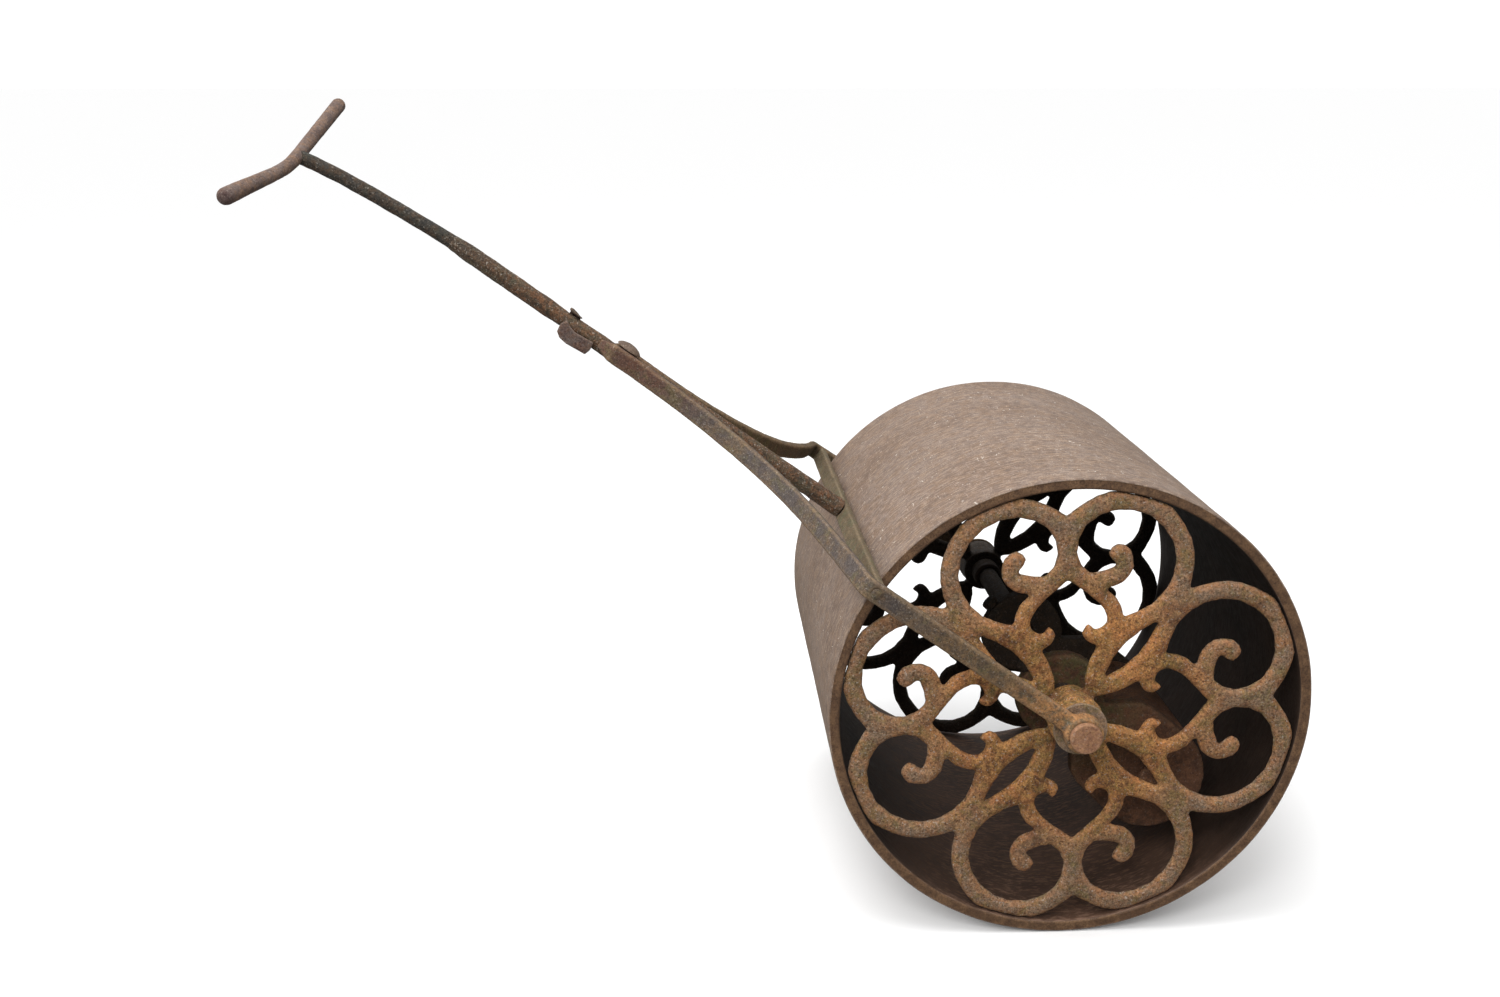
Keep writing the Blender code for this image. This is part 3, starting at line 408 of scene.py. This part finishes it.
def make_materials():
    """Every finish on the roller, by name."""
    moss = rgb(0.095, 0.090, 0.030)
    return {
        "drum": drum_skin(),
        "casting": rust(
            "casting_rust",
            rgb(0.116, 0.045, 0.018), rgb(0.392, 0.164, 0.052),
            rgb(0.400, 0.205, 0.070), rgb(0.500, 0.200, 0.072),
            patch=30, mottle=80, grain=0.60, wear=0.75, chalk=0.55,
            moss=rgb(0.150, 0.115, 0.030), moss_share=0.50,
            root_tone=rgb(0.190, 0.135, 0.042), root_share=0.55,
            outer=rgb(0.215, 0.142, 0.090), relief=1.5, speckle=0.34,
        ),
        # The far casting: the same cast iron as the near one, painted far darker as shade, where it
        # lies in shade inside the drum.
        "far_casting": rust(
            "far_casting_rust_in_painted_shade",
            rgb(0.026, 0.020, 0.015), rgb(0.048, 0.034, 0.024),
            rgb(0.060, 0.042, 0.029), rgb(0.080, 0.056, 0.040),
            patch=16, mottle=150, grain=0.5, wear=0.3, chalk=0.1, relief=1.0,
        ),
        "arm": rust(
            "arm_iron",
            rgb(0.078, 0.052, 0.032), rgb(0.134, 0.092, 0.054),
            rgb(0.185, 0.112, 0.056), rgb(0.310, 0.200, 0.110),
            patch=16, mottle=100, grain=0.48, wear=0.8, chalk=0.28,
            moss=rgb(0.108, 0.090, 0.042), moss_share=0.55,
            root_tone=rgb(0.400, 0.190, 0.070), outer=rgb(0.076, 0.060, 0.053),
            end_tone=rgb(0.102, 0.047, 0.030), relief=0.9,
        ),
        "far_arm": rust(
            "far_arm_iron",
            rgb(0.050, 0.034, 0.017), rgb(0.098, 0.062, 0.032),
            rgb(0.120, 0.078, 0.042), rgb(0.330, 0.220, 0.130),
            patch=18, mottle=120, grain=0.40, wear=0.85, chalk=0.15,
            moss=moss, moss_share=0.4,
            end_tone=rgb(0.092, 0.043, 0.029), relief=0.9,
        ),
        "stay": rust(
            "stay_iron_green",
            rgb(0.079, 0.060, 0.031), rgb(0.126, 0.086, 0.047),
            rgb(0.160, 0.112, 0.064), rgb(0.290, 0.215, 0.130),
            patch=24, mottle=130, grain=0.40, wear=0.6, chalk=0.25,
            moss=rgb(0.100, 0.096, 0.050), moss_share=0.65, relief=0.8,
        ),
        "shaft": rust(
            "shaft_iron",
            rgb(0.050, 0.031, 0.018), rgb(0.088, 0.055, 0.031),
            rgb(0.152, 0.072, 0.036), rgb(0.240, 0.160, 0.098),
            patch=26, mottle=150, grain=0.62, wear=0.5, chalk=0.5,
            moss=rgb(0.064, 0.060, 0.035), moss_share=0.6,
            end_tone=rgb(0.050, 0.036, 0.025), relief=1.4,
        ),
        "rod": rust(
            "rod_iron",
            rgb(0.020, 0.019, 0.016), rgb(0.035, 0.030, 0.024),
            rgb(0.072, 0.045, 0.028), rgb(0.135, 0.098, 0.067),
            patch=20, mottle=120, grain=0.6, wear=0.5, chalk=0.35,
            moss=rgb(0.038, 0.038, 0.027), moss_share=0.6, relief=1.5,
        ),
        "grip": rust(
            "grip_iron",
            rgb(0.085, 0.054, 0.046), rgb(0.140, 0.100, 0.084),
            rgb(0.190, 0.116, 0.076), rgb(0.280, 0.200, 0.155),
            patch=24, mottle=120, grain=0.40, wear=0.4, chalk=0.2,
            end_tone=rgb(0.055, 0.030, 0.030), relief=1.0,
        ),
        "clamp": rust(
            "clamp_iron",
            rgb(0.062, 0.027, 0.021), rgb(0.112, 0.081, 0.069),
            rgb(0.132, 0.077, 0.054), rgb(0.250, 0.185, 0.145),
            patch=45, mottle=150, grain=0.42, wear=0.6, chalk=0.2, relief=1.0,
        ),
        "stud": rust(
            "stud_iron",
            rgb(0.045, 0.034, 0.024), rgb(0.080, 0.058, 0.040),
            rgb(0.110, 0.070, 0.045), rgb(0.160, 0.115, 0.080),
            patch=45, mottle=150, grain=0.42, wear=0.5, chalk=0.15, relief=1.0,
        ),
        "dome": rust(
            "rivet_dome_iron",
            rgb(0.085, 0.053, 0.036), rgb(0.132, 0.091, 0.067),
            rgb(0.146, 0.098, 0.068), rgb(0.210, 0.152, 0.110),
            patch=60, mottle=200, grain=0.35, wear=0.4, chalk=0.3, relief=0.9,
        ),
        "nut": rust(
            "nut_iron",
            rgb(0.205, 0.094, 0.051), rgb(0.318, 0.162, 0.092),
            rgb(0.360, 0.188, 0.094), rgb(0.460, 0.300, 0.180),
            patch=60, mottle=220, grain=0.30, wear=0.5, chalk=0.25, relief=0.8,
        ),
        "washer": rust(
            "washer_iron",
            rgb(0.150, 0.095, 0.062), rgb(0.230, 0.155, 0.108),
            rgb(0.290, 0.180, 0.100), rgb(0.370, 0.270, 0.180),
            patch=60, mottle=200, grain=0.40, wear=0.6, chalk=0.3,
            moss=moss, moss_share=0.5, relief=0.9,
        ),
        "dark": rust(
            "dark_cast_iron",
            rgb(0.022, 0.015, 0.010), rgb(0.042, 0.028, 0.019),
            rgb(0.056, 0.036, 0.022), rgb(0.090, 0.064, 0.044),
            patch=24, mottle=120, grain=0.35, wear=0.5, chalk=0.12, relief=0.9,
        ),
        "axle": rust(
            "axle_iron",
            rgb(0.022, 0.015, 0.010), rgb(0.042, 0.028, 0.019),
            rgb(0.056, 0.036, 0.022), rgb(0.160, 0.110, 0.080),
            patch=40, mottle=150, grain=0.35, wear=0.4, chalk=0.12, relief=0.8,
        ),
        "lever": rust(
            "lever_cast_iron",
            rgb(0.060, 0.027, 0.014), rgb(0.118, 0.052, 0.026),
            rgb(0.145, 0.066, 0.034), rgb(0.160, 0.095, 0.052),
            patch=24, mottle=120, grain=0.40, wear=0.5, chalk=0.15,
            root_tone=rgb(0.082, 0.074, 0.026), root_share=0.75, relief=0.9,
        ),
        "weight": rust(
            "weight_cast_iron",
            rgb(0.090, 0.042, 0.022), rgb(0.165, 0.076, 0.040),
            rgb(0.190, 0.092, 0.046), rgb(0.230, 0.140, 0.080),
            patch=30, mottle=120, grain=0.40, wear=0.5, chalk=0.2, relief=0.9,
        ),
    }


# ---------------------------------------------------------------- meshes

HANDLE_ANGLE = math.radians(35.6)
HUB = np.array((0.0, 0.0, AXIS_HEIGHT))
OUT = np.array((-math.cos(HANDLE_ANGLE), 0.0, math.sin(HANDLE_ANGLE)))
UP = np.array((math.sin(HANDLE_ANGLE), 0.0, math.cos(HANDLE_ANGLE)))

RELAX_SHARE = 0.5
WEAR_GAIN = 2.2
RIPPLE_SHIFT = (7.3, 3.1, 5.7)  # between the noises of one seed and the next
RIPPLE_GAIN = 0.6
ROOT_REACH = 0.105
ROOT_FADE = 0.060
OUTER_START = 0.110
OUTER_FADE = 0.070
ARM_OUTER_START = 0.170
ARM_END = (0.44, 0.56)          # metres out from the axle, from none of the end's tone to all
SHAFT_END = (0.68, 0.80)
GRIP_NEAR_END = (0.140, 0.152)  # metres to the near side
GRIP_FAR_END = (0.150, 0.162)
GRIP_FAR_SHARE = 0.6


def vertex_places(mesh):
    flat = np.empty(len(mesh.vertices) * 3)
    mesh.vertices.foreach_get("co", flat)
    return flat.reshape(-1, 3)


def vertex_normals(mesh):
    flat = np.empty(len(mesh.vertices) * 3)
    mesh.vertex_normals.foreach_get("vector", flat)
    return flat.reshape(-1, 3)


def set_places(mesh, places):
    mesh.vertices.foreach_set("co", places.astype(np.float32).ravel())
    mesh.update()


def edge_ends(mesh):
    flat = np.empty(len(mesh.edges) * 2, dtype=np.int64)
    mesh.edges.foreach_get("vertices", flat)
    return flat.reshape(-1, 2)


def neighbour_mean(values, edges, count):
    """Each vertex's mean over the vertices that share an edge with it."""
    total = np.zeros_like(values)
    np.add.at(total, edges[:, 0], values[edges[:, 1]])
    np.add.at(total, edges[:, 1], values[edges[:, 0]])
    return total / count


def neighbour_count(edges, size):
    """How many edges meet at each vertex, but at least one."""
    count = np.bincount(edges.ravel(), minlength=size).astype(float)
    return np.maximum(count, 1.0)


def relax(places, edges, rounds, share):
    """Laplacian smoothing; share may differ from vertex to vertex."""
    count = neighbour_count(edges, len(places))[:, None]
    share = np.broadcast_to(np.asarray(share, dtype=float), (len(places),))[:, None]
    for _ in range(rounds):
        places = places + share * (neighbour_mean(places, edges, count) - places)
    return places


def number_attribute(mesh, name, values):
    layer = mesh.attributes.new(name, "FLOAT", "POINT")
    layer.data.foreach_set("value", np.asarray(values, dtype=np.float32))


def wear_attribute(mesh, rounds=2):
    """0.5 on the flat, more on convex edges, less in hollows."""
    places, normals, edges = vertex_places(mesh), vertex_normals(mesh), edge_ends(mesh)
    count = neighbour_count(edges, len(places))
    bend = ((places - neighbour_mean(places, edges, count[:, None])) * normals).sum(1)
    length = np.linalg.norm(places[edges[:, 0]] - places[edges[:, 1]], axis=1).mean()
    bend = bend / length
    for _ in range(rounds):
        bend = 0.5 * bend + 0.5 * neighbour_mean(bend, edges, count)
    number_attribute(mesh, "wear", np.clip(0.5 + WEAR_GAIN * bend, 0, 1))


def ripple(places, size, seed):
    """Smooth noise from 0 to 1 at each place, with features of the given size."""
    shift = Vector([seed * step for step in RIPPLE_SHIFT])
    values = [noise.noise(Vector(p) / size + shift) for p in places.tolist()]
    return np.clip(0.5 + RIPPLE_GAIN * np.asarray(values), 0, 1)


def dents(places, layers):
    """How deep the surface is dented at each place; layers are (depth, size, seed)."""
    return sum(depth * ripple(places, size, seed) for depth, size, seed in layers)


def cad_copy(node_name, name):
    """A copy of a CAD node's mesh as a new object in the row frame."""
    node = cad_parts[node_name]
    mesh = node.data.copy()
    mesh.transform(node.matrix_world)
    mesh.materials.clear()
    piece = bpy.data.objects.new(name, mesh)
    SCENE.collection.objects.link(piece)
    return piece


def remeshed(piece, cell):
    """The piece rebuilt on an even grid of the given cell."""
    modifier = piece.modifiers.new("grid", "REMESH")
    modifier.mode = "VOXEL"
    modifier.voxel_size = cell
    modifier.use_smooth_shade = True
    shaped = piece.evaluated_get(bpy.context.evaluated_depsgraph_get())
    mesh = bpy.data.meshes.new_from_object(shaped)
    piece.modifiers.clear()
    old = piece.data
    piece.data = mesh
    bpy.data.meshes.remove(old)
    return mesh


def finish_piece(piece, node_name, body, material):
    """The piece gets its finish, stands for its CAD node and moves with its body."""
    piece.data.materials.append(material)
    piece.data.polygons.foreach_set("use_smooth", [True] * len(piece.data.polygons))
    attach(piece, body)
    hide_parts(node_name)


def axle_distance(places):
    return np.hypot(places[:, 0], places[:, 2] - AXIS_HEIGHT)


def root_attribute(mesh, node_name):
    """root is 1 close to the axle line, where moss grows; outer is 1 far from it."""
    radius = axle_distance(vertex_places(mesh))
    number_attribute(mesh, "root", np.clip((ROOT_REACH - radius) / ROOT_FADE, 0, 1))
    start = ARM_OUTER_START if node_name.startswith("fork_arm") else OUTER_START
    number_attribute(mesh, "outer", np.clip((radius - start) / OUTER_FADE, 0, 1))


def along_handle(places):
    """How far each place is out along the handle from the axle."""
    return (places - HUB) @ OUT


def height_on_handle(places):
    """How far each place is above the handle's line through the axle."""
    return (places - HUB) @ UP


def smooth_step(values, low, high):
    """0 up to low, 1 from high on, and an S between."""
    share = np.clip((values - low) / (high - low), 0, 1)
    return share * share * (3 - 2 * share)


def taper_tip(places, start, end, flatten, gather):
    """Thin an arm towards its tip and draw it to the shaft, as forge-welded."""
    share = smooth_step(along_handle(places), start, end)
    height = height_on_handle(places)
    lowered = height * (1 - flatten * share)
    places = places + UP * (lowered - height)[:, None]
    places[:, 1] *= 1 - gather * share
    return places


def stretch_ends(places, low, high):
    """Move a bar's two ends outward along the handle, so that it runs into its neighbours."""
    out = along_handle(places)
    middle = (out.min() + out.max()) / 2
    half = (out.max() - out.min()) / 2
    share = (out - middle) / half
    move = np.where(share > 0, high * share, low * share)
    return places + OUT * move[:, None]


def end_attribute(mesh, node_name):
    """1 towards the end of a piece where its tone changes."""
    places = vertex_places(mesh)
    out = along_handle(places)
    values = np.zeros(len(places))
    if node_name.startswith("fork_arm"):
        values = smooth_step(out, *ARM_END)
    elif node_name == "handle_shaft":
        values = smooth_step(out, *SHAFT_END)
    elif node_name == "grip_bar":
        far = smooth_step(places[:, 1], *GRIP_FAR_END)
        values = smooth_step(-places[:, 1], *GRIP_NEAR_END) + GRIP_FAR_SHARE * far
    number_attribute(mesh, "end", values)


FORGED_DENTS = ((0.65, 0.014, 1), (0.35, 0.005, 2))     # depths are shares of the piece's own
TIP_TAPER = {                   # out from the axle: start, end; flattened by, gathered by
    "fork_arm_near": (0.586, 0.607, 0.50, 0.42),
    "fork_arm_far": (0.580, 0.594, 0.50, 0.42),
}
END_STRETCH = {                 # metres, at the low and the high end
    "handle_rod": (0.0022, 0.0022),
    "handle_shaft": (0.0004, 0.0022),
}
SWELL = {"band_key": (1.16, -0.0014)}   # times the size, metres up
RIVET_FOOT = -0.0105            # height on the handle below which the rivet is shortened
RIVET_FOOT_KEPT = 0.15


def as_fitted(node_name, places):
    """The last changes of shape that make single pieces meet as on the roller."""
    if node_name in TIP_TAPER:
        places = taper_tip(places, *TIP_TAPER[node_name])
    if node_name in END_STRETCH:
        places = stretch_ends(places, *END_STRETCH[node_name])
    if node_name in SWELL:
        times, lift = SWELL[node_name]
        centre = places.mean(0)
        places = centre + (places - centre) * times + UP * lift
    if node_name == "clamp_rivet":
        under = np.minimum(height_on_handle(places) - RIVET_FOOT, 0.0)
        places = places - UP * (under * (1 - RIVET_FOOT_KEPT))[:, None]
    return places


def forged(node_name, slot, material, cell, rounds, dent, soft_spots):
    """A smithed or rough cast piece: even mesh, eased edges and shallow dents that only go inward.

    soft_spots are (x, y, z, reach, rounds): there the surfaces run into each other more."""
    piece = cad_copy(node_name, node_name + "_worked")
    mesh = remeshed(piece, cell)
    places, edges = vertex_places(mesh), edge_ends(mesh)
    places = relax(places, edges, rounds, RELAX_SHARE)
    for x, y, z, reach, more in soft_spots:
        away = np.linalg.norm(places - np.array((x, y, z)), axis=1)
        places = relax(places, edges, more, RELAX_SHARE * np.clip(1.5 - away / reach, 0, 1))
    set_places(mesh, places)
    depth = dent * dents(places, FORGED_DENTS)
    places = places - vertex_normals(mesh) * depth[:, None]
    set_places(mesh, as_fitted(node_name, places))
    wear_attribute(mesh)
    root_attribute(mesh, node_name)
    end_attribute(mesh, node_name)
    finish_piece(piece, node_name, "handle", material)


# ---------------------------------------------------------------- castings

CASTING_CELL = 0.0015
CASTING_HALF = 0.00575
CASTING_INSET = 0.001           # of its face from the drum's end
CASTING_RELAX = 4
DOME_DROP = 0.0046              # how much lower a bar is at its sides than along its middle
DOME_REACH = 0.0090
BOSS_REACH = 0.0290
BOSS_DROP_SHARE = 0.2
BOSS_MARGIN = 0.002
BAR_MARGIN = 0.0012
CASTING_DENTS = ((0.0007, 0.011, 3), (0.0004, 0.0042, 4))
WALL_SLOPE = 0.55               # a face that points less than this along Y is a bar's side


def casting(node_name, middle, material):
    """A scroll casting whose bars are rounded across, as drawn from a mould of wood."""
    piece = cad_copy(node_name, node_name + "_cast")
    mesh = remeshed(piece, CASTING_CELL)
    places, normals = vertex_places(mesh), vertex_normals(mesh)
    radius = axle_distance(places)
    wall = np.flatnonzero((np.abs(normals[:, 1]) < WALL_SLOPE) & (radius > BOSS_REACH - BOSS_MARGIN))
    tree = KDTree(len(wall))
    for order, index in enumerate(wall):
        tree.insert((places[index, 0], 0.0, places[index, 2]), order)
    tree.balance()
    away = np.array([tree.find((p[0], 0.0, p[2]))[2] for p in places.tolist()])
    step = 1 - np.clip(away / DOME_REACH, 0, 1)
    drop = DOME_DROP * (1 - np.sqrt(np.clip(1 - step ** 2, 0, 1)))
    drop = np.where(radius > BOSS_REACH, drop, drop * BOSS_DROP_SHARE)
    on_bar = np.abs(places[:, 1] - middle) < CASTING_HALF + BAR_MARGIN
    scale = np.where(on_bar, (CASTING_HALF - drop) / CASTING_HALF, 1.0)
    places[:, 1] = middle + (places[:, 1] - middle) * scale
    places = relax(places, edge_ends(mesh), CASTING_RELAX, RELAX_SHARE)
    set_places(mesh, places)
    depth = dents(places, CASTING_DENTS)
    set_places(mesh, places - vertex_normals(mesh) * depth[:, None])
    wear_attribute(mesh)
    root_attribute(mesh, node_name)
    number_attribute(mesh, "end", np.zeros(len(places)))
    finish_piece(piece, node_name, "drum", material)


# ---------------------------------------------------------------- drum

DRUM_OUTER = 0.2539
DRUM_INNER = 0.2420
DRUM_HALF = 0.2500
DRUM_STEPS = 288
DRUM_ROWS = 90
RIM_ROUND = 0.0022
RIM_STEPS = 5
OUTSIDE, RIM, INSIDE = 0, 1, 2
DEPTH_SCALE = 40.0              # sets the marks of the two sides of the wall apart
DRUM_DENTS = ((0.0006, 0.055, 5), (0.0002, 0.012, 6))
RIM_DENTS = ((0.0006, 0.004, 7),)


def drum_profile():
    """(y, r, kind) round the wall's section; kind is OUTSIDE, RIM or INSIDE."""
    rows = []
    flat = DRUM_HALF - RIM_ROUND
    for i in range(DRUM_ROWS + 1):
        rows.append((-flat + 2 * flat * i / DRUM_ROWS, DRUM_OUTER, OUTSIDE))
    for i in range(1, RIM_STEPS):
        turn = math.pi / 2 * i / RIM_STEPS
        rows.append((flat + RIM_ROUND * math.sin(turn),
                     DRUM_OUTER - RIM_ROUND * (1 - math.cos(turn)), OUTSIDE))
    low, high = DRUM_INNER + RIM_ROUND, DRUM_OUTER - RIM_ROUND
    for i in range(RIM_STEPS + 1):
        rows.append((DRUM_HALF, high + (low - high) * i / RIM_STEPS, RIM))
    for i in range(1, RIM_STEPS):
        turn = math.pi / 2 * i / RIM_STEPS
        rows.append((flat + RIM_ROUND * math.cos(turn),
                     DRUM_INNER + RIM_ROUND * (1 - math.sin(turn)), RIM))
    rim = [row for row in rows if row[2] == RIM]
    corner = [row for row in rows if row[2] == OUTSIDE and row[0] > flat]
    for i in range(DRUM_ROWS + 1):
        rows.append((flat - 2 * flat * i / DRUM_ROWS, DRUM_INNER, INSIDE))
    rows += [(-y, r, kind) for y, r, kind in reversed(rim)]
    rows += [(-y, r, kind) for y, r, kind in reversed(corner)]
    return rows


def drum_mesh(turns, y, r):
    """A closed wall: the section (y, r) swept through the given turns from the top."""
    count = len(y)
    places = np.empty((DRUM_STEPS, count, 3))
    places[:, :, 0] = np.sin(turns)[:, None] * r
    places[:, :, 1] = y
    places[:, :, 2] = AXIS_HEIGHT + np.cos(turns)[:, None] * r
    places = places.reshape(-1, 3)
    faces = []
    for i in range(DRUM_STEPS):
        j = (i + 1) % DRUM_STEPS
        for k in range(count):
            m = (k + 1) % count
            faces.append((i * count + k, i * count + m, j * count + m, j * count + k))
    mesh = bpy.data.meshes.new("drum_shell_rolled")
    mesh.from_pydata(places.tolist(), [], faces)
    mesh.update()
    outward = np.array([mesh.polygons[0].normal.x, 0, mesh.polygons[0].normal.z])
    if outward @ (places[0] - np.array([0, places[0][1], AXIS_HEIGHT])) < 0:
        mesh.flip_normals()
    return mesh, places


def drum():
    """The rolled shell: finer than the CAD one, with rounded rims and slight unevenness."""
    rows = drum_profile()
    turns = np.arange(DRUM_STEPS) * 2 * math.pi / DRUM_STEPS
    y, r, kind = (np.array(column, dtype=float) for column in zip(*rows))
    mesh, places = drum_mesh(turns, y, r)
    normals = vertex_normals(mesh)
    depth = dents(places, DRUM_DENTS)
    kinds = np.tile(kind, DRUM_STEPS)
    rough_rim = np.where(kinds == RIM, dents(places, RIM_DENTS), 0.0)
    set_places(mesh, places - normals * (depth * (kinds < INSIDE) + rough_rim)[:, None])
    wear_attribute(mesh, 1)
    number_attribute(mesh, "inside", kinds == INSIDE)
    number_attribute(mesh, "rim", kinds == RIM)
    number_attribute(mesh, "depth", np.tile(r * DEPTH_SCALE, DRUM_STEPS))
    around = np.abs((turns + math.pi) % (2 * math.pi) - math.pi)
    number_attribute(mesh, "around", np.repeat(around, len(rows)))
    piece = bpy.data.objects.new("drum_shell_rolled", mesh)
    SCENE.collection.objects.link(piece)
    finish_piece(piece, "drum_shell", "drum", finishes["drum"])


# ---------------------------------------------------------------- build

EYE_ACROSS = 0.2900             # the eyes' middle, to each side
EYE_REACH = 0.042
EYE_RELAX = 14
NEAR_EYE = (0.0, -EYE_ACROSS, AXIS_HEIGHT, EYE_REACH, EYE_RELAX)
FAR_EYE = (0.0, EYE_ACROSS, AXIS_HEIGHT, EYE_REACH, EYE_RELAX)
# Node, slot, finish, cell of its grid, rounds of smoothing, deepest dent and soft spots.
FORGED = (
    ("fork_arm_near", "bar_iron", "arm", 0.0014, 3, 0.0008, (NEAR_EYE,)),
    ("fork_arm_far", "bar_iron", "far_arm", 0.0016, 3, 0.0008, (FAR_EYE,)),
    ("cross_stay", "stay_iron", "stay", 0.0014, 3, 0.0006, ()),
    ("handle_shaft", "bar_iron", "shaft", 0.0013, 4, 0.0009, ()),
    ("handle_rod", "bar_iron", "rod", 0.0011, 3, 0.0008, ()),
    ("grip_bar", "pin_iron", "grip", 0.0011, 3, 0.0006, ()),
    ("clamp_band", "bar_iron", "clamp", 0.0010, 4, 0.0006, ()),
    ("band_key", "pin_iron", "stud", 0.0008, 3, 0.0005, ()),
    ("clamp_rivet", "pin_iron", "dome", 0.0009, 4, 0.0006, ()),
    ("stay_rivet_near", "pin_iron", "arm", 0.0006, 6, 0.0006, ()),
    ("stay_rivet_far", "pin_iron", "far_arm", 0.0006, 6, 0.0006, ()),
    ("axle", "dark_iron", "axle", 0.0014, 2, 0.0004, ()),
    ("axle_nut_near", "pin_iron", "nut", 0.0006, 3, 0.0003, ()),
    ("axle_nut_far", "pin_iron", "nut", 0.0006, 3, 0.0003, ()),
    ("axle_collar_near", "dark_iron", "dark", 0.0010, 2, 0.0004, ()),
    ("axle_collar_far", "dark_iron", "dark", 0.0010, 2, 0.0004, ()),
    ("thrust_washer_near", "pin_iron", "washer", 0.0007, 2, 0.0002, ()),
    ("thrust_washer_far", "pin_iron", "washer", 0.0007, 2, 0.0002, ()),
    ("weight_lever_near", "dark_iron", "lever", 0.0022, 3, 0.0010, ()),
    ("weight_lever_inner", "dark_iron", "dark", 0.0022, 3, 0.0010, ()),
    ("set_screw_near", "pin_iron", "dark", 0.0007, 2, 0.0002, ()),
    ("set_screw_inner", "pin_iron", "dark", 0.0007, 2, 0.0002, ()),
    ("counterweight", "dark_iron", "weight", 0.0024, 3, 0.0012, ()),
    ("tie_bolt", "pin_iron", "weight", 0.0009, 2, 0.0003, ()),
    ("tie_nut", "pin_iron", "weight", 0.0008, 2, 0.0003, ()),
)

make_camera()
make_floor()
make_sky()
make_lights()
finishes = make_materials()
drum()
casting_middle = DRUM_HALF - CASTING_INSET - CASTING_HALF
casting("end_scroll_near", -casting_middle, finishes["casting"])
# The far casting takes the copy of the cast iron that is painted dark as shade.
casting("end_scroll_far", casting_middle, finishes["far_casting"])
for node_name, slot_name, finish, *shape in FORGED:
    forged(node_name, slot_name, finishes[finish], *shape)

SCENE.view_settings.view_transform = "Standard"
